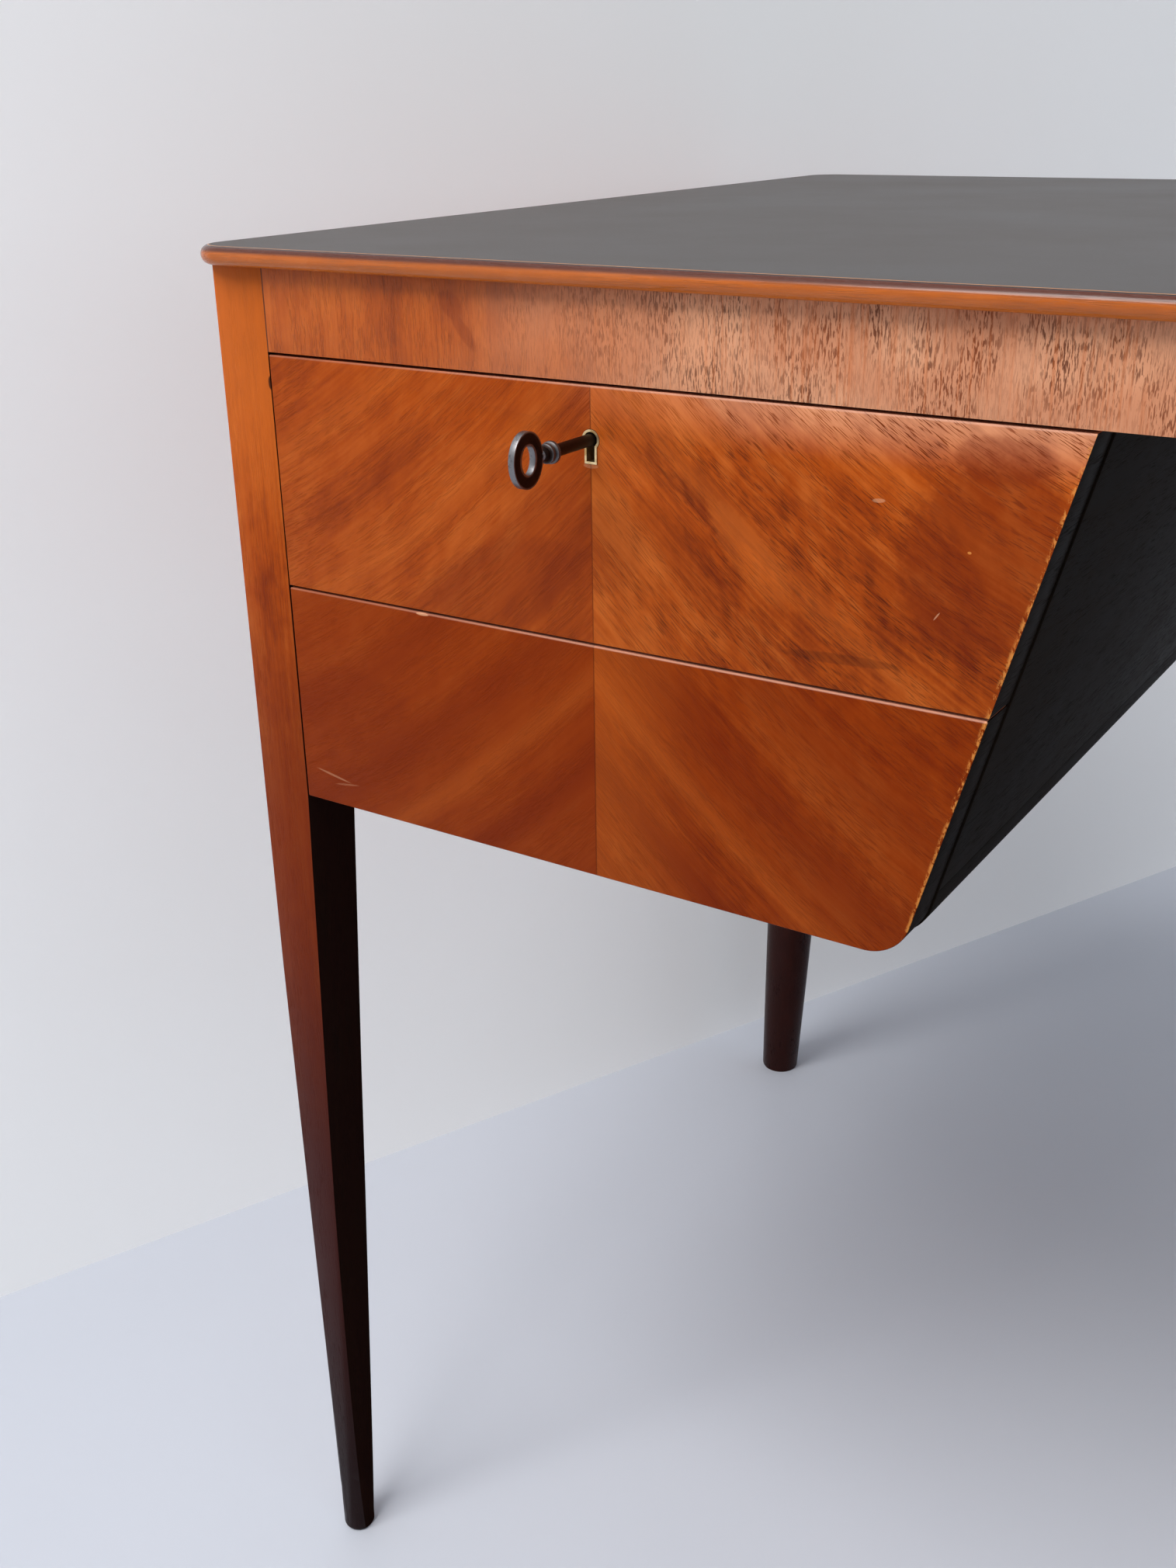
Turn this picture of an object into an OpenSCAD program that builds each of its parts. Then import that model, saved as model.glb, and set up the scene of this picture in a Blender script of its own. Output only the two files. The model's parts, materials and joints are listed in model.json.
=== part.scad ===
// Writing desk with two pedestals of two drawers each, on tapered legs.
// Millimetres. +X to the right of someone sitting at the desk's front, +Y to the back, +Z up.
// The origin is on the floor, in the middle of the whole object's bounding box, keys included.
// Left-hand pieces are drawn with the outer front edge of the left leg at x = 0, y = 0, and the
// right-hand pieces are their mirror images.

/* [Overall] */
// Width over the outer faces of the legs
desk_w = 1340; // [1100:10:1620]
// Depth from the faces of the drawers to the back of the case
desk_d = 600; // [500:10:720]
// Height of the writing surface above the floor
desk_h = 740; // [600:5:900]

/* [Top] */
// How far the lipping stands out past the legs, all round
top_overhang = 9; // [6:0.5:16]
// Thickness of the half-round lipping
lip_t = 8; // [8:0.5:12]
// Width of the lipping, from its nose to the core board
lip_w = 16; // [14:1:30]
// Radius of the top's corners, seen from above
top_corner_r = 20; // [17:1:60]
// Width of bare lipping between its nose and the writing surface
lip_bare_w = 3.7; // [3:0.1:8]
// Thickness of the dark writing surface
sheet_t = 2; // [1:0.25:3]
// Thickness of the core board where it drops inside the frame
core_drop_t = 10; // [6:1:16]

/* [Frieze] */
// Height of the frieze rails under the top
frieze_h = 35; // [32:1:60]
// Thickness of the frieze rails
frieze_t = 20; // [18:1:25]
// Width of the bearers that the sloping sides hang from
bearer_w = 24; // [20:1:40]

/* [Front legs] */
// Width of a front leg above its taper
leg_w = 28; // [25:1:45]
// Depth of a front leg above its taper
leg_d = 33; // [28:1:45]
// Width of a front leg at the floor
leg_foot_w = 16; // [12:1:24]
// Depth of a front leg at the floor
leg_foot_d = 17.5; // [12:0.5:24]
// Height over which the edge of a foot is rounded
foot_round = 3; // [1:0.5:5]

/* [Rear legs] */
// Radius of a rear leg where it meets the pedestal
rear_top_r = 22.5; // [20:0.5:28]
// Radius of a rear leg at the floor
rear_foot_r = 15; // [11:1:18]
// How far a rear foot reaches out past the side of the top
rear_foot_out = 11.5; // [0:0.5:16]
// How far a rear foot stands outside the top of its leg, sideways
rear_rake_x = 36; // [32:1:44]
// How far a rear foot stands behind the top of its leg
rear_rake_y = 42; // [16:1:50]
// Radius of the tenon at the top of a rear leg
rear_tenon_r = 12; // [8:1:15]
// Length of the tenon at the top of a rear leg
rear_tenon_l = 14; // [8:1:15]

/* [Pedestals] */
// Height of a pedestal below the frieze
ped_h = 208; // [180:1:240]
// Width of a pedestal's face at the top, leg included
ped_top_w = 386; // [340:1:440]
// Width of a pedestal's face at the bottom, leg included
ped_bottom_w = 331; // [300:1:380]
// How far the case stands out round the drawer fronts, at the slope and the bottom
case_proud = 0.8; // [0.4:0.1:2]
// Radius of the rounded edge between the sloping side and the bottom
corner_r = 20; // [18:1:30]
// Thickness of the pedestal's boards
board_t = 16; // [16:1:20]
// Thickness of the sloping side
slope_t = 14; // [12:1:18]
// Thickness of the board between the two drawers
divider_t = 10; // [8:1:14]
// Thickness of the pedestal's back
back_t = 10; // [6:1:14]
// How far the side panel is set back from the leg's outer face
side_inset = 1; // [0.5:0.5:4]
// How far the back is set in from the case's rear edges
back_inset = 2; // [0:1:6]

/* [Drawers] */
// Thickness of a drawer's front
front_t = 20; // [18:1:24]
// Gap round each drawer front
front_gap = 1.2; // [0.8:0.1:2]
// Space between a drawer's box and the pedestal's back
rear_clear = 48; // [10:2:80]
// Thickness of a drawer's sides and back
box_t = 10; // [8:1:14]
// Thickness of a drawer's bottom
bottom_t = 5; // [4:0.5:8]
// Depth of the groove that holds a drawer's bottom
groove_d = 4; // [2:0.5:5]
// Height of a drawer's bottom above the lower edges of its sides
bottom_rise = 6; // [4:1:12]
// Space between a drawer's box and what is above it
box_head = 6; // [4:1:20]
// Running clearance of a drawer on its divider and between its guides
run_gap = 0.6; // [0.4:0.1:1.5]
// Width of the guide beside the sloping side
guide_w = 6; // [5:1:10]
// Height of the guides
guide_h = 15; // [10:1:20]
// Clearance between glued or slotted pieces that touch
fit_gap = 0.1; // [0.05:0.05:0.2]

/* [Lock and key] */
// Depth of the key's axis below the frieze
lock_drop = 21.5; // [21:0.5:26]
// Radius of the key's shank
shank_r = 2.35; // [1.8:0.05:2.8]
// Clearance round the shank in the keyhole
keyhole_gap = 0.65; // [0.5:0.05:1]
// Wall of the brass keyhole liner
liner_t = 0.9; // [0.6:0.1:1.4]
// Depth of the brass keyhole liner
liner_depth = 5; // [3:0.5:8]
// Width of the slot below the keyhole's round part
slot_w = 3.7; // [3:0.1:5]
// Reach of the key's bit from the key's axis
bit_reach = 7.6; // [6:0.1:8]
// Thickness of the key's bit
bit_t = 2.2; // [1.6:0.1:2.6]
// Length of the key's bit along the shank
bit_l = 5; // [4:0.5:6]
// How far the outer end of the key's bow stands in front of the drawer
key_out = 52; // [40:1:60]
// Height of the key's oval bow
bow_h = 21; // [18:0.5:26]
// Length of the key's oval bow
bow_l = 18.4; // [15:0.2:22]
// Width of the metal of the bow
bow_rim = 5; // [2.5:0.1:6]
// Thickness of the bow
bow_t = 2.6; // [2:0.1:3.5]
// Width of the lock's case
lock_w = 44; // [36:1:60]
// Depth of the lock's case
lock_t = 12; // [10:0.5:13]
// Height of the lock's case below its top plate
lock_h = 38; // [34:1:44]
// Wall of the lock's case
lock_wall = 1.2; // [1:0.1:1.6]
// Width of the bolt
bolt_w = 14; // [10:1:18]
// Thickness of the bolt
bolt_t = 4; // [3:0.5:5]
// Travel of the bolt
bolt_throw = 8; // [6:0.5:8]
// Clearance round the bolt
bolt_gap = 0.4; // [0.3:0.1:0.6]
// Width of the strike plate
strike_w = 34; // [28:1:44]
// Depth of the strike plate
strike_d = 10; // [9:0.5:12]
// Thickness of the strike plate
strike_t = 1.2; // [1:0.1:2]

/* [Hidden] */
$fn = 64;

// Colours
mahogany = "#a5542a";
mahogany_dark = "#5c2416";
ebonised = "#232122";
linoleum = "#3a3836";
beech = "#c9a071";
brass = "#d8b26a";
steel = "#6e6a66";

// Heights
under_top = desk_h - lip_t;                 // where legs and rails meet the top
frieze_z = under_top - frieze_h;            // lower edge of the frieze
ped_z = frieze_z - ped_h;                   // lower edge of a pedestal
face_z = ped_z + case_proud;                // lower edge of the lower drawer's front
core_z = under_top - core_drop_t;           // lower face of the core board
sheet_z = desk_h - sheet_t;                 // lower face of the writing surface
split_z = (frieze_z + face_z) / 2;          // middle of the gap between the two fronts
upper_floor_z = split_z + divider_t / 2;    // top of the divider
lower_floor_z = ped_z + board_t;            // top of the bottom board

// Places along the depth, before the whole desk is moved to its origin
whole_d = key_out + desk_d + top_overhang;
front_y = key_out - whole_d / 2;            // where the drawer faces are in the final frame
carcass_y = front_t + 0.4;                  // front edges of the boards behind the drawer fronts
back_y = desk_d - back_inset - back_t;      // front face of a pedestal's back

// The sloping side: a straight line from the pedestal's face at the bottom to that at the top
slope_run = ped_top_w - ped_bottom_w;
slope_len = sqrt(slope_run * slope_run + ped_h * ped_h);
slope_u = [slope_run, ped_h] / slope_len;   // along the slope, upwards
slope_in = [-ped_h, slope_run] / slope_len; // square to the slope, into the pedestal
slant = slope_len / ped_h;                  // level distance for each millimetre square to the slope
function slope_x(z) = ped_bottom_w + slope_run * (z - ped_z) / ped_h;
function face_x(z) = slope_x(z) - case_proud * slant;   // sloping end of the drawer fronts
function inner_slope_x(z) = slope_x(z) - slope_t * slant;

// The rounded edge where the sloping side meets the bottom
corner_turn = 90 - atan(slope_run / ped_h);             // degrees turned round the edge
corner_reach = corner_r * tan(corner_turn / 2);         // from the sharp corner to the arc's ends
edge_reach = corner_reach + 8;                          // length of the rounded edge piece
corner_c = [ped_bottom_w - corner_reach, ped_z + corner_r];
corner_steps = 20;
function corner_arc(r) = [for (i = [0:corner_steps])
    let(a = -90 + corner_turn * i / corner_steps) corner_c + r * [cos(a), sin(a)]];
slope_foot = [ped_bottom_w, ped_z] + slope_u * edge_reach;  // where the straight sloping side begins

// Drawer boxes
box_x = leg_w + 3;                          // outer face of a box's outer side, clear of the leg
box_y = front_t;                            // a box begins at the back of its front
box_l = back_y - rear_clear - box_y;        // length of a box
function box_floor(level) = (level == "upper" ? upper_floor_z : lower_floor_z) + run_gap;
function box_top(level) = (level == "upper" ? frieze_z : split_z - divider_t / 2) - box_head;
function box_far_x(level) =
    min(inner_slope_x(box_floor(level) - run_gap), inner_slope_x(box_top(level))) - guide_w - run_gap;

// Lock
seam_x = (leg_w + face_x(ped_z + ped_h / 2)) / 2;   // middle of the drawer fronts
key_z = frieze_z - lock_drop;
hole_r = shank_r + keyhole_gap;
slot_drop = bit_reach + 0.8;                // from the key's axis to the foot of the slot
front_top = frieze_z - front_gap;           // top edge of the upper drawer's front
lock_y = front_t - lock_t;                  // front face of the lock's case
bolt_y = lock_y + (lock_t - bolt_t) / 2 - 0.8;
bit_y = lock_y + lock_wall + 1.5;
bolt_rest_z = key_z + bit_reach + 1;        // lower edge of the bolt, unlocked
bolt_slot = [bolt_w + 2 * bolt_gap, bolt_t + 2 * bolt_gap];
strike_y = bolt_y + bolt_t / 2 - strike_d / 2;
pilot_r = 1.6;                              // tip of the key, in the lock's back plate
bow_c_y = -(key_out - bow_l / 2);           // middle of the bow
collar_y = bow_c_y + bow_l / 2 + 6;         // middle of the key's collar

module left() translate([-desk_w / 2, front_y, 0]) children();
module right() mirror([1, 0, 0]) left() children();

// An outline drawn with x to the right and z up, extruded towards the back
module standing(y, depth) translate([0, y + depth, 0]) rotate([90, 0, 0]) linear_extrude(depth) children();

// ---- Top ----

// Cross-section of the lipping: x is the distance outwards from the leg's face, y the height.
// Its half-round nose runs up to the edge of the writing surface, which lies in a rebate.
nose_steps = 24;
nose_end = acos(max(0, lip_t / 2 - lip_bare_w) / (lip_t / 2));  // where the rebate cuts the nose
module lipping_section(inner) {
    nose_c = [top_overhang - lip_t / 2, under_top + lip_t / 2];
    bare = top_overhang - lip_bare_w;
    polygon(concat(
        [[inner, under_top]],
        [for (i = [0:nose_steps])
            let(a = -90 + (90 + nose_end) * i / nose_steps) nose_c + lip_t / 2 * [cos(a), sin(a)]],
        bare < nose_c[0] ? [[bare, desk_h]] : [],
        [[bare, sheet_z], [inner, sheet_z]]));
}

// One lipping, running along X at y = 0, for a side of the given length. It ends in two quarter
// rounds, each cut by the mitre.
corner_in = top_corner_r - top_overhang;    // from a leg's faces to the middle of a corner's round
module lipping_corner() rotate_extrude(angle = 45) translate([corner_in, 0])
    lipping_section(-min(lip_w - top_overhang, corner_in));
module lipping(length) {
    inside = lip_w - top_overhang;
    intersection() {
        translate([corner_in, 0, 0]) rotate([90, 0, 90]) linear_extrude(length - 2 * corner_in)
            mirror([1, 0, 0]) lipping_section(-inside);
        translate([0, 0, under_top - 1]) linear_extrude(lip_t + 2)
            polygon([[-top_overhang - 1, -top_overhang - 1], [length + top_overhang + 1, -top_overhang - 1],
                     [length - inside - 1, inside + 1], [inside + 1, inside + 1]]);
    }
    translate([corner_in, corner_in, 0]) mirror([1, 0, 0]) rotate(-90) lipping_corner();
    translate([length - corner_in, corner_in, 0]) rotate(-90) lipping_corner();
}
module lipping_front() color(mahogany) left() lipping(desk_w);
module lipping_back() color(mahogany) left() translate([desk_w, desk_d, 0]) rotate(180) lipping(desk_w);
module lipping_left() color(mahogany) left() translate([0, desk_d, 0]) rotate(-90) lipping(desk_d);
module lipping_right() color(mahogany) right() mirror([0, 1, 0]) rotate(-90) lipping(desk_d);

// A board over the whole desk, with its edge the given distance out from the legs' faces
module top_board(out, z, thick) translate([0, 0, z]) {
    r = out + corner_in;
    translate([-out, corner_in, 0]) cube([desk_w + 2 * out, desk_d - 2 * corner_in, thick]);
    if (r > 0) {
        translate([corner_in, -out, 0]) cube([desk_w - 2 * corner_in, desk_d + 2 * out, thick]);
        for (x = [corner_in, desk_w - corner_in], y = [corner_in, desk_d - corner_in])
            translate([x, y, 0]) cylinder(h = thick, r = r);
    } else translate([-out, -out, 0]) cube([desk_w + 2 * out, desk_d + 2 * out, thick]);
}

module top_core() color(beech) left() {
    top_board(top_overhang - lip_w, under_top, sheet_z - under_top);
    translate([leg_w + 1, frieze_t + 1, core_z])
        cube([desk_w - 2 * leg_w - 2, desk_d - 2 * frieze_t - 2, core_drop_t]);
}

module top_surface() color(linoleum) left() top_board(top_overhang - lip_bare_w, sheet_z, sheet_t);

// ---- Legs ----

taper_steps = 12;
taper_power = 1.5;      // the inner face of a front leg hollows slightly as it tapers
module front_leg() {
    foot_r = leg_foot_d / 2 + 0.15;
    upper_r = norm([leg_w, leg_d]) / 2 + 0.8;
    lean = [(leg_d - leg_foot_d) / 2, (leg_w - leg_foot_w) / 2];
    intersection() {
        standing(0, leg_d) polygon(concat(
            [[0, 0]],
            [for (i = [0:taper_steps]) let(t = i / taper_steps)
                [leg_foot_w + (leg_w - leg_foot_w) * pow(t, taper_power), ped_z * t]],
            [[leg_w, under_top], [0, under_top]]));
        rotate([90, 0, 90]) linear_extrude(leg_w)
            polygon([[0, 0], [leg_foot_d, 0], [leg_d, ped_z], [leg_d, under_top], [0, under_top]]);
        union() {
            translate([leg_foot_w / 2, leg_foot_d / 2, -0.2])
                rotate([-atan(lean[0] / ped_z), atan(lean[1] / ped_z), 0])
                    rotate_extrude() polygon(concat(
                        [[0, 0]],
                        [for (a = [-90:15:0]) [foot_r - foot_round + foot_round * cos(a),
                                               foot_round + foot_round * sin(a)]],
                        [[upper_r, ped_z], [upper_r, ped_z + 2], [0, ped_z + 2]]));
            translate([-1, -1, ped_z - 1]) cube([leg_w + 2, leg_d + 2, under_top - ped_z + 2]);
        }
    }
}
module leg_front_left() color(mahogany) left() front_leg();
module leg_front_right() color(mahogany) right() front_leg();

// A turned rear leg stands under the pedestal, raked so that its foot reaches past the side of the
// top and stands plumb under the back of the lipping
rear_foot_c = [rear_foot_r - top_overhang - rear_foot_out, desk_d + top_overhang - rear_foot_r];
rear_tilt = [atan(rear_rake_y / ped_z), atan(rear_rake_x / ped_z), 0];
rear_steps = 24;
module on_rear_leg_axis() translate([rear_foot_c[0], rear_foot_c[1], 0]) rotate(rear_tilt) children();
module rear_leg() {
    intersection() {
        on_rear_leg_axis() translate([0, 0, -1]) rotate_extrude() polygon(concat(
            [[0, 0], [rear_foot_r - foot_round, 0]],
            [for (a = [-75:15:0]) [rear_foot_r - foot_round + foot_round * cos(a),
                                   1 + foot_round + foot_round * sin(a)]],
            [for (i = [1:rear_steps]) let(t = i / rear_steps)
                [rear_top_r - (rear_top_r - rear_foot_r) * pow(1 - t, 2), 1 + foot_round + ped_z * t]],
            [[0, 1 + foot_round + ped_z]]));
        translate([-desk_w / 4, 0, 0]) cube([desk_w, 2 * desk_d, ped_z]);
    }
    intersection() {
        on_rear_leg_axis() cylinder(h = ped_z + 2 * rear_tenon_l, r = rear_tenon_r);
        translate([-desk_w / 4, 0, ped_z - 1]) cube([desk_w, 2 * desk_d, rear_tenon_l + 1]);
    }
}
module leg_rear_left() color(mahogany_dark) left() rear_leg();
module leg_rear_right() color(mahogany_dark) right() rear_leg();

// ---- Frame under the top ----

module bolt_mortise() translate([seam_x - bolt_slot[0] / 2, bolt_y - bolt_gap, frieze_z - 1])
    cube([bolt_slot[0], bolt_slot[1], 1 + bolt_throw + 2]);
module strike_recess() translate([seam_x - strike_w / 2 - fit_gap, strike_y - fit_gap, frieze_z - 1])
    cube([strike_w + 2 * fit_gap, strike_d + 2 * fit_gap, 1 + strike_t + fit_gap]);
module frieze_front() color(mahogany) difference() {
    left() translate([leg_w, 0, frieze_z]) cube([desk_w - 2 * leg_w, frieze_t, frieze_h]);
    left() { bolt_mortise(); strike_recess(); }
    right() { bolt_mortise(); strike_recess(); }
}
module frieze_back() color(mahogany) left()
    translate([side_inset + board_t, desk_d - frieze_t, frieze_z])
        cube([desk_w - 2 * (side_inset + board_t), frieze_t, frieze_h]);
module bearer() translate([ped_top_w - bearer_w, frieze_t, frieze_z])
    cube([bearer_w, desk_d - 2 * frieze_t, frieze_h - core_drop_t]);
module bearer_left() color(beech) left() bearer();
module bearer_right() color(beech) right() bearer();

// ---- Pedestals ----

module side_panel() translate([side_inset, leg_d, ped_z])
    cube([board_t, desk_d - leg_d, under_top - ped_z]);
module side_panel_left() color(mahogany) left() side_panel();
module side_panel_right() color(mahogany) right() side_panel();

module sloping_side() standing(carcass_y, desk_d - carcass_y)
    polygon([slope_foot, [ped_top_w, frieze_z], [inner_slope_x(frieze_z), frieze_z],
             slope_foot + slope_in * slope_t]);
module sloping_side_left() color(ebonised) left() sloping_side();
module sloping_side_right() color(ebonised) right() sloping_side();

module rounded_edge() standing(carcass_y, desk_d - carcass_y)
    polygon(concat(
        [[ped_bottom_w - edge_reach, lower_floor_z], [ped_bottom_w - edge_reach, ped_z]],
        corner_arc(corner_r),
        [slope_foot, slope_foot + slope_in * slope_t, [inner_slope_x(lower_floor_z), lower_floor_z]]));
module rounded_edge_left() color(ebonised) left() rounded_edge();
module rounded_edge_right() color(ebonised) right() rounded_edge();

module bottom_board() {
    near_x = side_inset + board_t;
    difference() {
        translate([near_x, carcass_y, ped_z])
            cube([ped_bottom_w - edge_reach - near_x, desk_d - carcass_y, board_t]);
        on_rear_leg_axis() cylinder(h = ped_z + 2 * board_t, r = rear_tenon_r + fit_gap);
        // The front leg stands through the corner
        translate([-1, -1, ped_z - 1]) cube([leg_w + 1, leg_d + 1, board_t + 2]);
    }
}
module bottom_board_left() color(beech) left() bottom_board();
module bottom_board_right() color(beech) right() bottom_board();

module divider() {
    near_x = side_inset + board_t;
    low_z = split_z - divider_t / 2;
    difference() {
        standing(carcass_y, back_y - carcass_y)
            polygon([[near_x, low_z], [inner_slope_x(low_z), low_z],
                     [inner_slope_x(upper_floor_z), upper_floor_z], [near_x, upper_floor_z]]);
        translate([-1, -1, low_z - 1]) cube([leg_w + 1, leg_d + 1, divider_t + 2]);
    }
}
module divider_left() color(beech) left() divider();
module divider_right() color(beech) right() divider();

module back_panel() {
    near_x = side_inset + board_t;
    standing(back_y, back_t)
        polygon([[near_x, lower_floor_z], [inner_slope_x(lower_floor_z), lower_floor_z],
                 [inner_slope_x(frieze_z), frieze_z], [near_x, frieze_z]]);
}
module back_panel_left() color(mahogany) left() back_panel();
module back_panel_right() color(mahogany) right() back_panel();

// Two guides for each drawer, standing on the board that carries it
module drawer_guides() {
    near_x = side_inset + board_t;
    guide_y = leg_d + 1;
    guide_l = back_y - guide_y - 1;
    for (level = ["upper", "lower"]) {
        floor_z = box_floor(level) - run_gap;
        translate([near_x, guide_y, floor_z]) cube([box_x - run_gap - near_x, guide_l, guide_h]);
        translate([box_far_x(level) + run_gap, guide_y, floor_z])
            cube([guide_w - 0.3, guide_l, guide_h]);
    }
}
module drawer_guides_left() color(beech) left() drawer_guides();
module drawer_guides_right() color(beech) right() drawer_guides();

// ---- Drawers ----

// The keyhole: a round hole over a slot, grown by the given amount, cut from y to y + depth
module keyhole(grow, y, depth) translate([seam_x, y, key_z]) {
    rotate([-90, 0, 0]) cylinder(h = depth, r = hole_r + grow);
    translate([-slot_w / 2 - grow, 0, -slot_drop - grow])
        cube([slot_w + 2 * grow, depth, slot_drop + grow]);
}
module front_upper() {
    low_z = split_z + front_gap / 2;
    near_x = leg_w + front_gap / 2;
    difference() {
        standing(0, front_t) polygon([[near_x, low_z], [face_x(low_z), low_z],
                                      [face_x(front_top), front_top], [near_x, front_top]]);
        keyhole(liner_t + fit_gap, -1, liner_depth + 1.1);
        keyhole(0.1, 0, front_t);
        // The pocket for the lock, open to the back and to the top edge
        translate([seam_x - lock_w / 2 - fit_gap, lock_y - fit_gap, front_top - lock_h - fit_gap])
            cube([lock_w + 2 * fit_gap, lock_t + 1, lock_h + 1]);
    }
}
module front_lower() {
    high_z = split_z - front_gap / 2;
    near_x = leg_w + front_gap / 2;
    standing(0, front_t) polygon(concat(
        [[near_x, face_z]], corner_arc(corner_r - case_proud),
        [[face_x(high_z), high_z], [near_x, high_z]]));
}

// A box's parts at a level: its sides stand on the divider or on the bottom board
module box_side(level, x, groove_x) difference() {
    translate([x, box_y, box_floor(level)])
        cube([box_t, box_l, box_top(level) - box_floor(level)]);
    translate([groove_x, box_y - 1, box_floor(level) + bottom_rise])
        cube([groove_d, box_l + 2, bottom_t + fit_gap]);
}
module box_side_outer(level) box_side(level, box_x, box_x + box_t - groove_d);
module box_side_inner(level) box_side(level, box_far_x(level) - box_t, box_far_x(level) - box_t);
module box_back(level) translate([box_x + box_t, box_y + box_l - box_t,
                                  box_floor(level) + bottom_rise + bottom_t + fit_gap])
    cube([box_far_x(level) - box_x - 2 * box_t, box_t,
          box_top(level) - box_floor(level) - bottom_rise - bottom_t - fit_gap - 8]);
module box_bottom(level) translate([box_x + box_t - groove_d + fit_gap, box_y,
                                    box_floor(level) + bottom_rise])
    cube([box_far_x(level) - box_x - 2 * (box_t - groove_d + fit_gap), box_l, bottom_t]);

module front_upper_left() color(mahogany) left() front_upper();
module front_upper_right() color(mahogany) right() front_upper();
module front_lower_left() color(mahogany) left() front_lower();
module front_lower_right() color(mahogany) right() front_lower();
module side_outer_upper_left() color(beech) left() box_side_outer("upper");
module side_outer_upper_right() color(beech) right() box_side_outer("upper");
module side_outer_lower_left() color(beech) left() box_side_outer("lower");
module side_outer_lower_right() color(beech) right() box_side_outer("lower");
module side_inner_upper_left() color(beech) left() box_side_inner("upper");
module side_inner_upper_right() color(beech) right() box_side_inner("upper");
module side_inner_lower_left() color(beech) left() box_side_inner("lower");
module side_inner_lower_right() color(beech) right() box_side_inner("lower");
module back_upper_left() color(beech) left() box_back("upper");
module back_upper_right() color(beech) right() box_back("upper");
module back_lower_left() color(beech) left() box_back("lower");
module back_lower_right() color(beech) right() box_back("lower");
module bottom_upper_left() color(beech) left() box_bottom("upper");
module bottom_upper_right() color(beech) right() box_bottom("upper");
module bottom_lower_left() color(beech) left() box_bottom("lower");
module bottom_lower_right() color(beech) right() box_bottom("lower");

// ---- Locks ----

module escutcheon() difference() {
    keyhole(liner_t, -0.2, liner_depth + 0.2);
    keyhole(0, -1, liner_depth + 2);
}
module escutcheon_left() color(brass) left() escutcheon();
module escutcheon_right() color(brass) right() escutcheon();

screw_r = 1.4;          // shank of the lock's wood screws
screw_head_r = 2.6;
screw_inset = 4;        // from the sides of the lock's case to its screws
screw_xs = [seam_x - lock_w / 2 + screw_inset, seam_x + lock_w / 2 - screw_inset];
screw_zs = [front_top - lock_h + screw_inset, front_top - 8];

// The case is a tray with its mouth to the front, closed by its cap, in the front's pocket
module lock_case() {
    low_z = front_top - lock_h;
    flange = 2 * screw_inset;
    difference() {
        translate([seam_x - lock_w / 2, lock_y, low_z]) cube([lock_w, lock_t, lock_h]);
        translate([seam_x - lock_w / 2 + flange, lock_y + lock_wall, low_z + lock_wall])
            cube([lock_w - 2 * flange, lock_t - 2 * lock_wall, lock_h - 2 * lock_wall]);
        keyhole(0.1, lock_y - 1, lock_wall + 2);
        translate([seam_x, front_t - 2 * lock_wall, key_z]) rotate([-90, 0, 0])
            cylinder(h = 3 * lock_wall, r = pilot_r + fit_gap);
        translate([seam_x - bolt_slot[0] / 2, bolt_y - bolt_gap, front_top - 2 * lock_wall])
            cube([bolt_slot[0], bolt_slot[1], 3 * lock_wall]);
        for (x = screw_xs, z = screw_zs) translate([x, lock_y - 1, z]) rotate([-90, 0, 0])
            cylinder(h = lock_t + 2, r = screw_r + fit_gap);
        for (x = screw_xs, z = screw_zs) translate([x, front_t - 1.5, z]) rotate([-90, 0, 0])
            cylinder(h = 2, r = screw_head_r + fit_gap);
    }
}
module lock_case_left() color(steel) left() lock_case();
module lock_case_right() color(steel) right() lock_case();

module lock_screws() for (x = screw_xs, z = screw_zs) translate([x, front_t, z]) rotate([90, 0, 0]) {
    translate([0, 0, 0.2]) cylinder(h = 1.2, r = screw_head_r);
    cylinder(h = lock_t, r = screw_r);
}
module lock_screws_left() color(steel) left() lock_screws();
module lock_screws_right() color(steel) right() lock_screws();

module lock_bolt() translate([seam_x - bolt_w / 2, bolt_y, bolt_rest_z])
    cube([bolt_w, bolt_t, front_top - 0.2 - bolt_rest_z]);
module lock_bolt_left() color(brass) left() lock_bolt();
module lock_bolt_right() color(brass) right() lock_bolt();

module strike_plate() difference() {
    translate([seam_x - strike_w / 2, strike_y, frieze_z]) cube([strike_w, strike_d, strike_t]);
    bolt_mortise();
}
module strike_plate_left() color(brass) left() strike_plate();
module strike_plate_right() color(brass) right() strike_plate();

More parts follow.
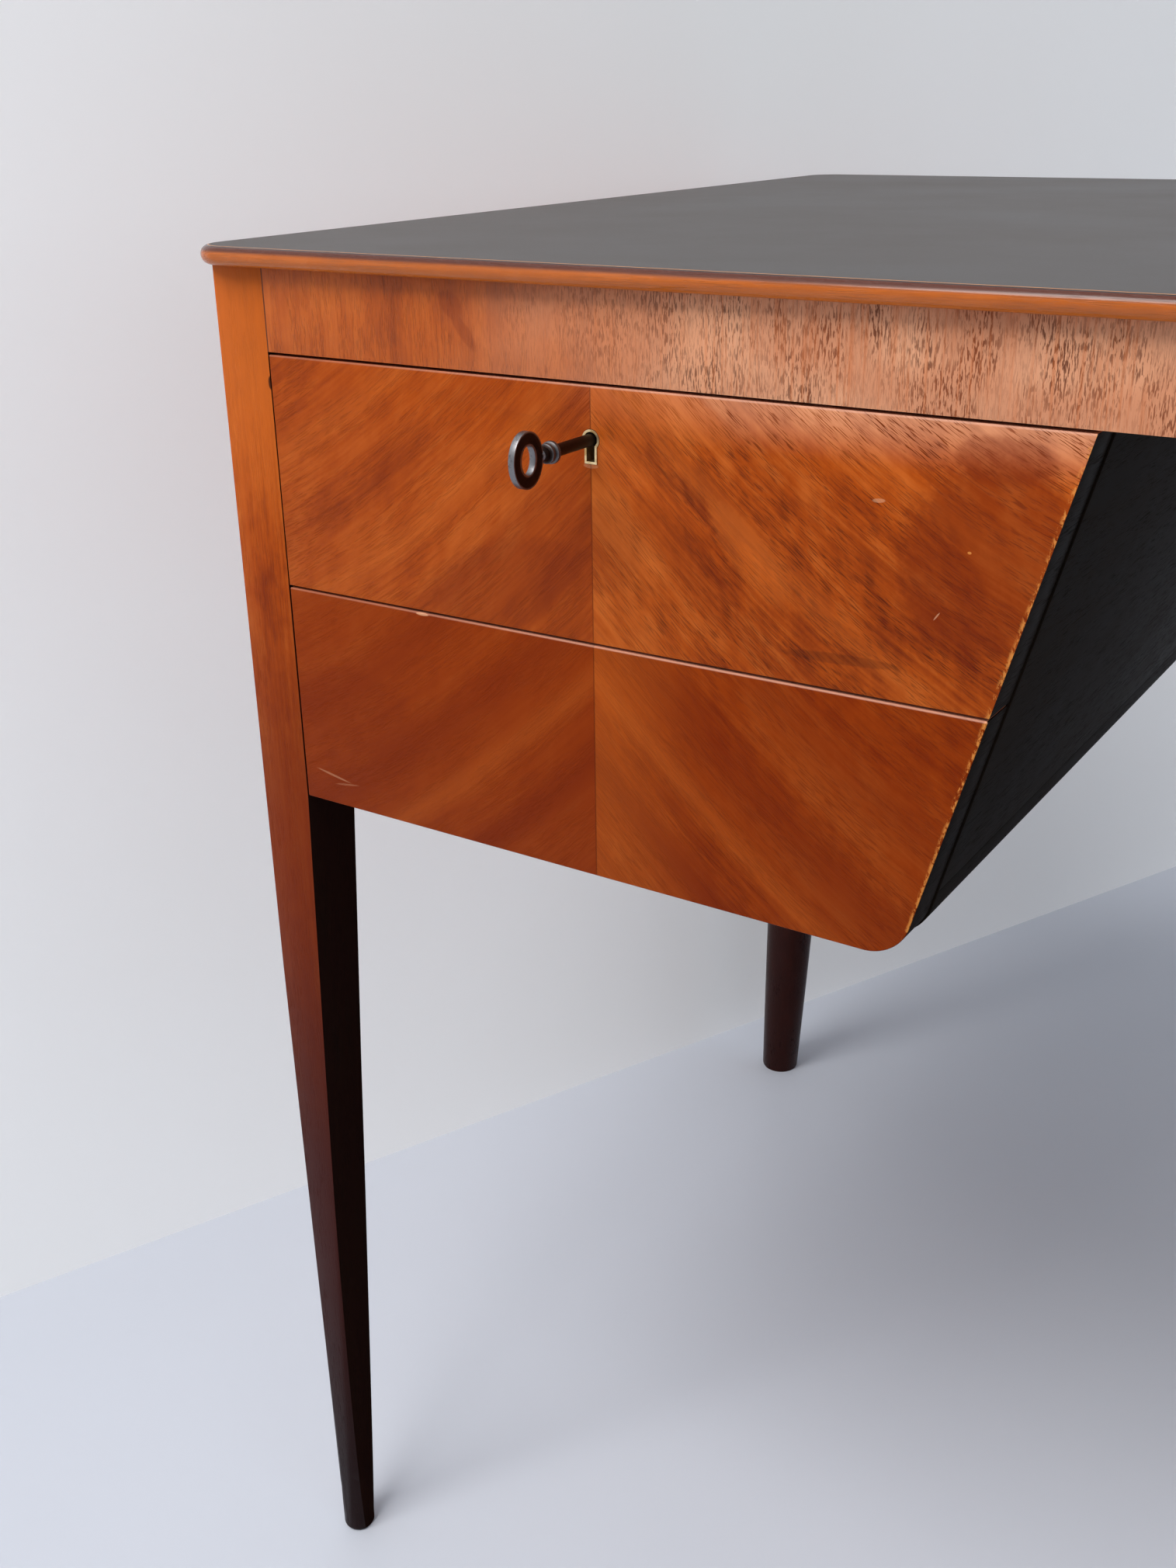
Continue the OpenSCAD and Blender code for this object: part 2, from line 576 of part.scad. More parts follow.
// The key hangs with its bit down. Everything round turns on one axis towards the back.
bow_steps = 48;
function oval(h, l) = [for (i = [0:bow_steps - 1]) let(a = 360 * i / bow_steps)
    [bow_c_y + l / 2 * cos(a), h / 2 * sin(a)]];
module key() translate([seam_x, 0, key_z]) {
    bow_inner_end = bow_c_y + bow_l / 2;
    bit_end = bit_y + bit_l;
    difference() {
        rotate([90, 0, 90]) linear_extrude(bow_t, center = true) polygon(oval(bow_h, bow_l));
        rotate([90, 0, 90]) linear_extrude(2 * bow_t, center = true)
            polygon(oval(bow_h - 2 * bow_rim, bow_l - 2 * bow_rim));
    }
    // Neck, collar, shank and pilot, from the bow to the lock
    rotate([-90, 0, 0]) rotate_extrude() polygon([
        [0, bow_inner_end - 1.2], [1.3, bow_inner_end - 1.2], [2.6, bow_inner_end + 1.5],
        [2.7, collar_y - 3.2], [3.7, collar_y - 2.6], [3.7, collar_y - 1.2], [3, collar_y - 0.6],
        [4.2, collar_y], [4.3, collar_y + 1.2], [3.6, collar_y + 2.2], [shank_r, collar_y + 2.8],
        [shank_r, bit_end], [pilot_r, bit_end], [pilot_r, front_t - 0.3], [0, front_t - 0.3]]);
    translate([-bit_t / 2, bit_y, -bit_reach]) cube([bit_t, bit_l, bit_reach]);
}
module key_left() color(steel) left() key();
module key_right() color(steel) right() key();

top_core();
top_surface();
lipping_front();
lipping_back();
lipping_left();
lipping_right();
leg_front_left();
leg_front_right();
leg_rear_left();
leg_rear_right();
frieze_front();
frieze_back();
bearer_left();
bearer_right();
side_panel_left();
side_panel_right();
sloping_side_left();
sloping_side_right();
rounded_edge_left();
rounded_edge_right();
bottom_board_left();
bottom_board_right();
divider_left();
divider_right();
back_panel_left();
back_panel_right();
drawer_guides_left();
drawer_guides_right();
front_upper_left();
side_outer_upper_left();
side_inner_upper_left();
back_upper_left();
bottom_upper_left();
front_lower_left();
side_outer_lower_left();
side_inner_lower_left();
back_lower_left();
bottom_lower_left();
front_upper_right();
side_outer_upper_right();
side_inner_upper_right();
back_upper_right();
bottom_upper_right();
front_lower_right();
side_outer_lower_right();
side_inner_lower_right();
back_lower_right();
bottom_lower_right();
escutcheon_left();
escutcheon_right();
lock_case_left();
lock_case_right();
lock_bolt_left();
lock_bolt_right();
key_left();
key_right();
strike_plate_left();
strike_plate_right();
lock_screws_left();
lock_screws_right();
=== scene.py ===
# %% [markdown]
# # A writing desk with locking drawers
# This lesson dresses a writing desk: mahogany boards, an ebonised inner side on each pedestal, a dark
# writing sheet and two small locks with their keys. The carcass, the drawers and the joints come from
# a CAD frame that is already the right size, so Blender never moves or resizes anything. What it adds
# is what a cabinetmaker adds last: eased arrises, veneer, polish, wear and light.

# %% Load the frame
import json
import math

import bpy
from mathutils import Matrix, Vector


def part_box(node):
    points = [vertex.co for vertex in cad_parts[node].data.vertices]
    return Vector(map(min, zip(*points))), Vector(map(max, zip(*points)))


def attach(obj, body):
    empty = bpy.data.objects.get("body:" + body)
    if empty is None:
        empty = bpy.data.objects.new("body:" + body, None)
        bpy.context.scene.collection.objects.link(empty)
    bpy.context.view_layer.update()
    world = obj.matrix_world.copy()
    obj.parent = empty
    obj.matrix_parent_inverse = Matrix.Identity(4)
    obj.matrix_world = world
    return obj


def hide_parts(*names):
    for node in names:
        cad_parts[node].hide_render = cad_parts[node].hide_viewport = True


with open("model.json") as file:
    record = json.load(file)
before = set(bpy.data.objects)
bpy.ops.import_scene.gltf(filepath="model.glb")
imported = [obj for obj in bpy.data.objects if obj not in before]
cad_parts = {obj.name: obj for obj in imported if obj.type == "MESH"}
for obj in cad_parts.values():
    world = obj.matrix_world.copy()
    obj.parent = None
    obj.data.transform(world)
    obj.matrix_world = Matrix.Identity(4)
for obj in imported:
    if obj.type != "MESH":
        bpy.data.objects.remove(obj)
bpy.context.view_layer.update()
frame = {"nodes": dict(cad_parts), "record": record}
NODES = frame["nodes"]
BODY_OF = {node: body for body, nodes in frame["record"]["behaviour"]["bodies"].items() for node in nodes}

# %% [markdown]
# ## The desk's own measures
# Every place in this file comes from the frame. A maker would read these lines off the workpiece: the
# outer front edge of the left leg, the face of the drawers, the seam where the two sheets of veneer
# meet, and the line on which each drawer front slopes. Blender works in metres, and cabinetmakers
# don't, so one value turns millimetres into metres.

# %% Measures from the frame
MM = 0.001
leg_lo, leg_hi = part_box("leg_front_left")
upper_lo, upper_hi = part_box("front_upper_left")
lower_lo, lower_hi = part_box("front_lower_left")
liner_lo, liner_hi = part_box("escutcheon_left")
LEG_CORNER = Vector((leg_lo.x, leg_lo.y, 0))
SEAM = -(liner_lo.x + liner_hi.x) / 2
TOP_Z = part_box("top_surface")[1].z
PEDESTAL_Z = lower_lo.z


def edge_x(node, z):
    """How far a drawer front reaches towards the knee space at one of its heights."""
    return max(v.co.x for v in NODES[node].data.vertices if abs(v.co.z - z) < 0.1 * MM)


SLOPE_FOOT = -edge_x("front_upper_left", upper_lo.z)
SLOPE_HEAD = -edge_x("front_upper_left", upper_hi.z)
SLOPE = (SLOPE_HEAD - SLOPE_FOOT) / (upper_hi.z - upper_lo.z)


def knee_edge(z):
    """Where the sloping end of the drawer fronts stands at a height, from the desk's middle."""
    return (z - upper_lo.z) * SLOPE + SLOPE_FOOT


print("seam at", round(SEAM / MM, 1), "mm from the middle; the fronts end", round(SLOPE_HEAD / MM, 1),
      "mm from it at the top and slope by", round(SLOPE, 3))

# %% [markdown]
# ## The camera
# A photographer stood in front of the left pedestal, a little to its right and just above the writing
# surface, and looked down and to the left. The camera's place is given from the outer front edge of
# the left leg, because that edge stands on the floor and is easy to find. Its turns are written in
# the order a tripod has them: pan, tilt and a slight roll.

# %% Camera
CAMERA_AT = Vector((532.7, -516.7, 798.6)) * MM
PAN, TILT, ROLL = 33.62, -23.28, 0.908
camera = bpy.data.objects.new("camera", bpy.data.cameras.new("camera"))
bpy.context.scene.collection.objects.link(camera)
camera.data.sensor_width = 36
camera.data.lens = 37.11
camera.data.clip_start = 10 * MM
camera.matrix_world = (
    Matrix.Translation(LEG_CORNER + CAMERA_AT)
    @ Matrix.Rotation(math.radians(PAN), 4, "Z")
    @ Matrix.Rotation(math.radians(TILT), 4, "X")
    @ Matrix.Rotation(math.radians(ROLL), 4, "Y")
    @ Matrix.Rotation(math.radians(90), 4, "X")
)
bpy.context.scene.camera = camera
print("camera at", [round(v, 3) for v in camera.matrix_world.translation])

# %% [markdown]
# ## Shader maths as Python
# A material is a web of nodes, and wires are hard to read. A shader socket is wrapped in a small
# class here, so that `1 - mask` or `x * 3 + noise` adds the Math nodes by itself. Everything that
# isn't arithmetic goes through one method, `node`, which takes a node's type, its settings and then
# the values of its sockets.

# %% A socket that can be added and multiplied
class Signal:
    """A shader socket that Python's arithmetic works on."""

    def __init__(self, tree, socket):
        self.tree = tree
        self.socket = socket

    def node(self, kind, settings, inputs, output=0):
        """Adds a node. Its settings come first, then the values or links of its sockets."""
        made = self.tree.nodes.new(kind)
        for name, value in settings.items():
            if name == "stops":
                set_stops(made.color_ramp, value)
            else:
                setattr(made, name, value)
        for key, value in inputs.items():
            if isinstance(value, Signal):
                self.tree.links.new(value.socket, made.inputs[key])
            else:
                made.inputs[key].default_value = value
        return Signal(self.tree, made.outputs[output])

    def math(self, operation, *values):
        """Adds a Math node."""
        return self.node("ShaderNodeMath", {"operation": operation}, dict(enumerate(values)))

    def __add__(self, other):
        return self.math("ADD", self, other)

    def __radd__(self, other):
        return self.math("ADD", other, self)

    def __sub__(self, other):
        return self.math("SUBTRACT", self, other)

    def __rsub__(self, other):
        return self.math("SUBTRACT", other, self)

    def __mul__(self, other):
        return self.math("MULTIPLY", self, other)

    def __rmul__(self, other):
        return self.math("MULTIPLY", other, self)

    def __truediv__(self, other):
        return self.math("DIVIDE", self, other)

    def __pow__(self, other):
        return self.math("POWER", self, other)

    def __neg__(self):
        return self.math("MULTIPLY", self, -1)

    def __abs__(self):
        return self.math("ABSOLUTE", self)

    def least(self, other):
        """The smaller of two values."""
        return self.math("MINIMUM", self, other)

    def parts(self):
        """The x, y and z of a vector."""
        return [self.node("ShaderNodeSeparateXYZ", {}, {0: self}, i) for i in range(3)]

    def smooth(self, start, end):
        """Rises softly from 0 at start to 1 at end, and falls if end is the smaller."""
        return self.node(
            "ShaderNodeMapRange", {"interpolation_type": "SMOOTHSTEP"}, {0: self, 1: start, 2: end}
        )

    def ramp(self, *stops):
        """Turns a value from 0 to 1 into a colour between the given ones."""
        return self.node("ShaderNodeValToRGB", {"stops": stops}, {0: self})


def set_stops(color_ramp, stops):
    """Gives a colour ramp its places and colours."""
    for extra in list(color_ramp.elements)[1:]:
        color_ramp.elements.remove(extra)
    for i, (place, colour) in enumerate(stops):
        element = color_ramp.elements[0] if i == 0 else color_ramp.elements.new(place)
        element.position = place
        element.color = colour


print("Signal knows", len([name for name in dir(Signal) if not name.startswith("_")]), "named methods")

# %% [markdown]
# ## A few words for materials
# Wood, metal and linoleum need the same few things: a noise that is stretched along the grain, a mix
# of two colours, a bump, and a place to plug them in. Colours are written as the 0 to 255 numbers of
# a paint chart. The polish's own numbers, such as its coat, are the same all over, so they are set
# straight on the shader.

# %% Helpers for every finish
def paint_chart(red, green, blue):
    """A colour in 0 to 255 numbers as the shader wants it."""
    def linear(value):
        value /= 255
        return value / 12.92 if value <= 0.04045 else ((value + 0.055) / 1.055) ** 2.4
    return (linear(red), linear(green), linear(blue), 1)


def new_material(name):
    """An empty material, and its Object coordinates."""
    material = bpy.data.materials.new(name)
    material.use_nodes = True
    material.node_tree.nodes.clear()
    start = material.node_tree.nodes.new("ShaderNodeTexCoord")
    return material, Signal(material.node_tree, start.outputs["Object"])


def noise(x, y, z, detail=2.0, roughness=0.5, distortion=0.0):
    """Noise on a point whose coordinates have already been divided by the size of its spots."""
    point = x.node("ShaderNodeCombineXYZ", {}, {0: x, 1: y, 2: z})
    return x.node("ShaderNodeTexNoise", {}, {
        "Vector": point, "Scale": 1.0, "Detail": detail, "Roughness": roughness,
        "Distortion": distortion})


def mix(factor, under, over):
    """Lays one colour over another."""
    return factor.node("ShaderNodeMix", {"data_type": "RGBA"}, {0: factor, 6: under, 7: over}, 2)


def bump(height, depth, under=None):
    """A bump whose height runs from 0 to 1 over the given depth."""
    inputs = {"Height": height, "Distance": depth}
    if under is not None:
        inputs["Normal"] = under
    return height.node("ShaderNodeBump", {}, inputs)


def plug_in(material, sockets):
    """Adds the shader and gives its sockets their values or links."""
    tree = material.node_tree
    shader = tree.nodes.new("ShaderNodeBsdfPrincipled")
    output = tree.nodes.new("ShaderNodeOutputMaterial")
    tree.links.new(shader.outputs[0], output.inputs[0])
    for key, value in sockets.items():
        if isinstance(value, Signal):
            tree.links.new(value.socket, shader.inputs[key])
        else:
            shader.inputs[key].default_value = value
    return material


print("mahogany on the paint chart:", [round(v, 3) for v in paint_chart(176, 90, 44)])

# %% [markdown]
# ## Mahogany
# Mahogany shows three things at three scales. Broad bands of colour lie a hand's width apart, where
# the grain leans one way or the other. Fine streaks run along the grain, a millimetre or two wide.
# Over both lie the pores, short dark dashes that the polish doesn't quite fill. One function makes
# all three from three coordinates, along the grain, across it and into the board, so each board only
# has to say which way its grain runs.

# %% The wood itself
TONES = {
    "deep": paint_chart(108, 34, 4),
    "body": paint_chart(156, 66, 10),
    "light": paint_chart(186, 94, 32),
    "pore": paint_chart(56, 18, 6),
    # the colour of the painted sheen on the upper drawer front and the frieze
    "bleached": paint_chart(214, 158, 122),
    "ochre": paint_chart(205, 132, 62),
    "scratch": paint_chart(214, 160, 120),
    "soot": paint_chart(34, 14, 8),
    # the colour of the painted highlight on the drawers' top arrises
    "rubbed": paint_chart(222, 166, 140),
}


def mahogany(along, across, into, seed, band=26.0, pore_long=9.0, pore_wide=0.45, pores=0.6,
             figure=0.6, contrast=1.0):
    """The colour of mahogany, then its pores and its tone as values. Sizes are in millimetres."""
    a = along / MM + seed * 71.3
    b = across / MM + seed * 37.9
    c = into / MM + seed * 13.7
    bands = noise(a / 190, b / band, c / band, detail=2, distortion=0.3)
    streaks = noise(a / 60, b / 1.7, c / 1.7, detail=3, roughness=0.6)
    mottle = noise(a / 15, b / 8, c / 8, detail=4, roughness=0.65)
    cloud = noise(a / 60, b / 45, c / 45, detail=3, roughness=0.6)
    tone = (bands - 0.5) * figure + (streaks - 0.5) * 0.5 + (mottle - 0.5) * 0.45 + (cloud - 0.5) * 0.6
    tone = tone * contrast + 0.5
    colour = tone.ramp((0.22, TONES["deep"]), (0.5, TONES["body"]), (0.80, TONES["light"]))
    dashes = noise(a / pore_long, b / pore_wide, c / pore_wide, detail=1, roughness=0.4)
    crowds = noise(a / 45, b / 7, c / 7, detail=1)
    pore = dashes.smooth(0.53, 0.64) * crowds.smooth(0.28, 0.58)
    colour = mix(pore * pores, colour, TONES["pore"])
    return colour, pore, tone


print("tones:", ", ".join(TONES))

# %% [markdown]
# ## Wear
# A desk that has been used for sixty years has marks of its own: a knock on an edge, a few scratches,
# a stain. Each is a soft oval on the front, given by its place from the outer edge of the left leg and
# its size, in millimetres, and broken up by a little noise. So marks lie on the left pedestal only.

# %% A mark on the front
def mark(x, z, at, size, turn=0.0, ragged=0.5):
    """1 inside an oval on the front, 0 outside."""
    u = (x - LEG_CORNER.x) / MM - at[0]
    v = z / MM - at[1]
    cosine, sine = math.cos(math.radians(turn)), math.sin(math.radians(turn))
    long_way = (u * cosine + v * sine) / size[0]
    short_way = (v * cosine - u * sine) / size[1]
    broken = (noise(u / 2.5, v / 2.5, z, detail=2) - 0.5) * ragged
    return (long_way * long_way + short_way * short_way + broken).smooth(1.1, 0.5)


UPPER_WEAR = [
    # place and size in millimetres, turn in degrees, tone, strength
    ((352, 650), (40, 34), 60, "deep", 0.60),
    ((300, 606), (26, 2.2), 2, "soot", 0.30),
    ((356, 684), (20, 9), 0, "deep", 0.45),
    ((150, 612), (44, 20), 20, "deep", 0.32),
    ((196, 634), (22, 20), 0, "deep", 0.25),
    ((312, 666), (2.6, 0.8), 5, "scratch", 0.35),
    ((336, 628), (2.0, 0.3), 55, "scratch", 0.5),
    ((346, 652), (0.8, 0.5), 0, "ochre", 0.7),
    ((228, 690), (30, 10), -20, "light", 0.3),
    ((262, 640), (26, 9), -48, "light", 0.3),
    (((-SEAM - LEG_CORNER.x) / MM, liner_lo.z / MM - 0.8), (3.6, 1.0), 0, "scratch", 0.22),
]
LOWER_WEAR = [
    ((105, 592.2), (3.6, 0.7), 0, "scratch", 0.6),
    ((46, 504), (11, 0.6), -10, "scratch", 0.26),
    ((54, 501), (8, 0.5), 8, "scratch", 0.16),
    ((60, 540), (40, 22), 0, "deep", 0.35),
]
print(len(UPPER_WEAR) + len(LOWER_WEAR), "marks on the drawer fronts")

# %% [markdown]
# ## The drawer fronts
# A drawer front is veneered with two sheets cut one after the other and opened like a book, so the
# grain on one side of the seam mirrors the other. Here that is one line of maths: the distance from
# the seam has no sign. The grain climbs towards the seam and flattens away from it, so a height plus
# a curve of that distance is constant along one line of grain. Light falls into the two sheets from
# opposite sides, so one looks crisp and the other soft. That is painted: the sheet towards the knees
# has stronger grain and a painted sheen beside the seam, and the other sheet has painted shade beside it.
# A painted sheen lies on the upper corner towards the knees, a painted highlight runs along each top
# arris, and the lower front is painted darker all over, as painted shade. Along the sloping end the
# veneer is chipped down to its pale ground.

# %% Book-matched veneer
FLATTENING = 0.00145    # how fast the grain lies down, for each millimetre from the seam
SEAM_SHADE = 60         # how far the painted sheen and painted shade beside the seam reach, in millimetres
SHEEN_FADE = 26           # how tall the fade at the lower border of the painted sheen is, in millimetres
CHIP_SIZE = (1.5, 3.5)  # across and along the sloping end, in millimetres


def veneer(name, seed, dark_bands, wear, bleach, painted_shade, pores, top_z, gloss):
    """A drawer front's veneer, opened like a book on the seam."""
    material, place = new_material(name)
    x, y, z = place.parts()
    from_middle = abs(x)
    inner = (SEAM - from_middle) / MM
    off_seam = abs(inner)
    towards_knees = inner.smooth(-0.2, 0.2)
    line = z / MM + off_seam - off_seam * off_seam * FLATTENING
    waver = noise(off_seam / 60, line / 25, y, detail=2) * 5
    # The sheet towards the knees gets more pores and more contrast, painted as the light catches its
    # grain.
    colour, pore, tone = mahogany(
        off_seam * 1.4 * MM, (line + waver) * 0.7 * MM, y + towards_knees * 0.3, seed,
        band=16, pore_long=8, pore_wide=0.32, pores=towards_knees * 0.42 + pores, figure=0.45,
        contrast=towards_knees * 0.6 + 0.7)
    # Painted shade: the whole front is darkened by the given amount, strongly on the lower drawer.
    colour = mix(tone * 0.1 + painted_shade, colour, TONES["deep"])
    for centre, width, tone_name, strength in dark_bands:
        band = (abs(line - centre + (tone - 0.5) * 14)).smooth(width, 0)
        colour = mix(band * strength, colour, TONES[tone_name])
    # Painted sheen on the sheet towards the knees and painted shade on the other one, both beside the
    # seam.
    seam_sheen_and_shade = off_seam.smooth(SEAM_SHADE, 0)
    colour = mix(seam_sheen_and_shade * towards_knees * 0.25, colour, TONES["light"])
    colour = mix(seam_sheen_and_shade * (1 - towards_knees) * 0.25, colour, TONES["deep"])
    join = off_seam.smooth(0.5, 0.1)
    colour = mix(join * 0.35, colour, TONES["pore"])
    # Painted sheen: the upper corner towards the knees is painted paler, where the light glances off the
    # polish.
    sheen_patch = (z / MM).smooth(bleach, bleach + SHEEN_FADE) * inner.smooth(-30, 110)
    lighter = (tone * 0.7 + 0.25).least(1)
    colour = mix(sheen_patch * (1 - pore) * lighter, colour, TONES["bleached"])
    for at, size, turn, tone_name, strength in wear:
        colour = mix(mark(x, z, at, size, turn) * strength, colour, TONES[tone_name])
    chip_wide, chip_high = (size * MM for size in CHIP_SIZE)
    chips = noise(x / chip_wide, z / chip_high, y / chip_wide, detail=4, roughness=0.75)
    off_end = (from_middle - knee_edge(z)) / MM
    arris = (off_end + (tone - 0.5) * 1.6).smooth(2.0, 0.4) * chips.smooth(0.47, 0.55)
    colour = mix(arris * 0.8, colour, TONES["ochre"])
    # Painted highlight: a thin pale line along the top arris of each front, where the light catches it.
    rubbed_edge = ((top_z - z) / MM).smooth(0.9, 0.3) * (inner.smooth(-150, 40) * 0.35 + 0.2)
    colour = mix(rubbed_edge, colour, TONES["rubbed"])
    rough = 0.36 + (tone - 0.5) * 0.14 + pore * 0.2 + arris * 0.2
    ripple = noise(x / (16 * MM), y / (16 * MM), z / (16 * MM), detail=1)
    surface = bump(ripple, 0.2 * MM)
    surface = bump(1 - pore, 0.08 * MM, surface)
    return plug_in(material, {
        "Base Color": colour, "Roughness": rough, "Normal": surface, "Specular IOR Level": gloss})


UPPER_BANDS = [
    (706, 12, "light", 0.25), (672, 16, "deep", 0.28), (742, 18, "deep", 0.16), (776, 12, "light", 0.2)]
LOWER_BANDS = [
    (544, 17, "deep", 0.8), (612, 22, "deep", 0.6), (580, 12, "light", 0.2), (660, 20, "deep", 0.4)]
upper_veneer = veneer(
    "upper drawer veneer", 1.0, UPPER_BANDS, UPPER_WEAR, 676, -0.02, 0.20, upper_hi.z, 0.07)
# The lower front is painted darker than the upper one, as painted shade.
lower_veneer = veneer(
    "lower drawer veneer", 2.0, LOWER_BANDS, LOWER_WEAR, 720, 0.62, 0.12, lower_hi.z, 0.04)
print("made", upper_veneer.name, "and", lower_veneer.name)

# %% [markdown]
# ## Solid boards
# The legs and the sides have their grain along their length. A leg is painted lighter at the top and
# darker towards the foot: painted light and shade of a light that fades towards the floor, with some
# darker staining at the foot. Its side that faces the knees is painted shade. They all use the same
# wood and only turn it. The finish of one board can be changed by a function of its own, its tint.

# %% Legs and boards
def grain_frame(x, y, z, grain):
    """The coordinates along the grain, across it and into the board."""
    return {"x": (x, z, y), "y": (y, x, z), "z": (z, x, y)}[grain]


def board(name, seed, grain, polish=0.36, coat=0.0, gloss=0.07, tint=None, **sizes):
    """A solid board whose grain runs along x, y or z."""
    material, place = new_material(name)
    x, y, z = place.parts()
    along, across, into = grain_frame(x, y, z, grain)
    colour, pore, tone = mahogany(along, across, into, seed, **sizes)
    if tint is not None:
        colour = tint(colour, x, y, z, tone, pore)
    rough = polish + (tone - 0.5) * 0.14 + pore * 0.2
    surface = bump(1 - pore, 0.06 * MM)
    return plug_in(material, {
        "Base Color": colour, "Roughness": rough, "Normal": surface,
        "Coat Weight": coat, "Coat Roughness": 0.10, "Specular IOR Level": gloss})


NICK_AT, NICK_SIZE = (28, 684), (1.3, 3.2)
# Painted light at the top of a leg, then painted shade that deepens towards the foot, partly darker
# staining.
LEG_LIGHT_AND_SHADE = [
    # where it starts and is whole, as parts of the height below the pedestal, then strength and colour
    (1.22, 1.42, 0.70, TONES["light"]),
    (1.35, 0.95, 0.82, paint_chart(98, 31, 6)),
    (1.00, 0.50, 0.92, paint_chart(48, 17, 15)),
    (0.55, 0.05, 0.88, paint_chart(20, 11, 12)),
]


def leg_light_and_shade(colour, x, y, z, tone, pore):
    """Paints light at the top of a leg and shade deepening towards its foot, partly darker staining, and
    nicks its inner edge below the frieze.
    """
    for start, whole, strength, layer_colour in LEG_LIGHT_AND_SHADE:
        colour = mix((z / PEDESTAL_Z).smooth(start, whole) * strength, colour, layer_colour)
    nick = mark(x, z, NICK_AT, NICK_SIZE, ragged=0.2)
    return mix(nick * 0.9, colour, TONES["soot"])


def shaded(colour, x, y, z, tone, pore):
    """Painted shade on the side of a leg that faces the knees, away from the light."""
    return mix(tone * 0.04 + 0.955, colour, paint_chart(13, 12, 12))


leg_wood = board("leg mahogany", 4.0, "z", band=12, pores=0.25, figure=0.35, tint=leg_light_and_shade)
# The side of a leg that faces the knees gets painted shade, nearly black.
leg_shaded_side = board("leg mahogany, painted shade on the knee side", 4.5, "z", band=12, pores=0.3, tint=shaded, gloss=0.0)
side_wood = board("side mahogany", 5.0, "y", band=30)
back_wood = board("back mahogany", 6.0, "x", band=30)
print("boards:", len([m for m in bpy.data.materials if "mahogany" in m.name]))

# %% [markdown]
# ## The frieze
# The frieze is veneered with its grain upright. Near the leg the polish is full and the wood looks
# smooth and brown. Towards the knee space the pores stand open, in crowds of coarse dark ticks, and
# the wood is painted paler and pinker, a painted sheen of the light on the open grain. So the size and
# the depth of the pores, and the painted sheen, follow the distance from the leg.

# %% Frieze veneer
material, place = new_material("frieze veneer")
x, y, z = place.parts()
from_leg = (-abs(x) - LEG_CORNER.x) / MM
leg_width = (leg_hi.x - leg_lo.x) / MM
open_grain_and_sheen = (from_leg + noise(x / (60 * MM), y, z / (30 * MM), detail=2) * 90).smooth(150, 330)
colour, pore, tone = mahogany(z, x, y, 3.0, band=30, pore_long=5, pore_wide=0.5, pores=0.35, figure=0.9)
colour = mix((tone * 0.3 + 0.15).least(1), colour, TONES["light"])
# Painted sheen: towards the knee space the wood is painted paler and pinker, as the light catches its
# open grain.
colour = mix(open_grain_and_sheen * 0.86, colour, TONES["bleached"])
across = x / MM
upright = z / MM
ticks = noise(across / 0.55, upright / 3.6, y, detail=2, roughness=0.55).smooth(0.50, 0.60)
crowds = noise(across / 14, upright / 30, y + 3, detail=2).smooth(0.34, 0.62)
ticks = ticks * (crowds * 0.8 + 0.2) * open_grain_and_sheen
colour = mix(ticks * 0.88, colour, paint_chart(66, 28, 14))
lines = noise(across / 1.1, upright / 50, y + 7, detail=2).smooth(0.45, 0.75) * open_grain_and_sheen
colour = mix(lines * 0.40, colour, TONES["light"])
warm = noise(across / 55, upright / 45, y + 11, detail=2).smooth(0.42, 0.66)
colour = mix(warm * open_grain_and_sheen * 0.34, colour, TONES["body"])
joint = abs(from_leg - leg_width).smooth(0.9, 0.4)
colour = mix(joint * 0.85, colour, TONES["soot"])
smudge = mark(x, z, (128, 722), (7, 5), -35) + mark(x, z, (134, 712), (10, 3), -50)
colour = mix(smudge.least(1) * 0.35, colour, TONES["deep"])
frieze_wood = plug_in(material, {
    "Base Color": colour, "Roughness": 0.38 + ticks * 0.25 + (tone - 0.5) * 0.15,
    "Normal": bump(1 - (ticks + pore).least(1), 0.12 * MM),
    "Coat Weight": 0.05, "Coat Roughness": 0.2, "Specular IOR Level": 0.15})
print("made", frieze_wood.name)

# %% [markdown]
# ## The lipping
# The half-round lipping is the glossiest wood on the desk, because every hand rubs it. Its colour is
# deep orange below and nearly purple above, where a painted reflection of something dark lies on the
# upper part of the round, and a thin line of pale glue and a black line part it from the sheet. All of
# this follows the height, since the round turns from upright to level as it rises.

# %% Lipping wood
def rubbed(colour, x, y, z, tone, pore):
    """Paints a dark reflection on the upper part of the lipping and draws the two lines beside the sheet.
    """
    depth = (TOP_Z - z) / MM
    colour = mix(0.55 - tone * 0.2, colour, paint_chart(176, 98, 30))
    colour = mix(depth.smooth(4.5, 7.5) * 0.5, colour, paint_chart(200, 104, 22))
    # Painted reflection: the upper part of the round is painted dark purple-brown, as if it mirrored
    # something dark.
    colour = mix(depth.smooth(3.0, 1.4) * 0.9, colour, paint_chart(58, 20, 14))
    colour = mix(depth.smooth(0.45, 0.25) * 0.9, colour, paint_chart(14, 9, 8))
    return mix(depth.smooth(0.10, 0.05), colour, TONES["ochre"])


LIPPING = {
    "polish": 0.26, "coat": 0.4, "gloss": 0.15, "band": 9, "pores": 0.35, "figure": 0.5, "tint": rubbed}
lipping_x_wood = board("lipping along the front", 7.0, "x", **LIPPING)
lipping_y_wood = board("lipping along the side", 8.0, "y", **LIPPING)
print("made", lipping_x_wood.name, "and", lipping_y_wood.name)

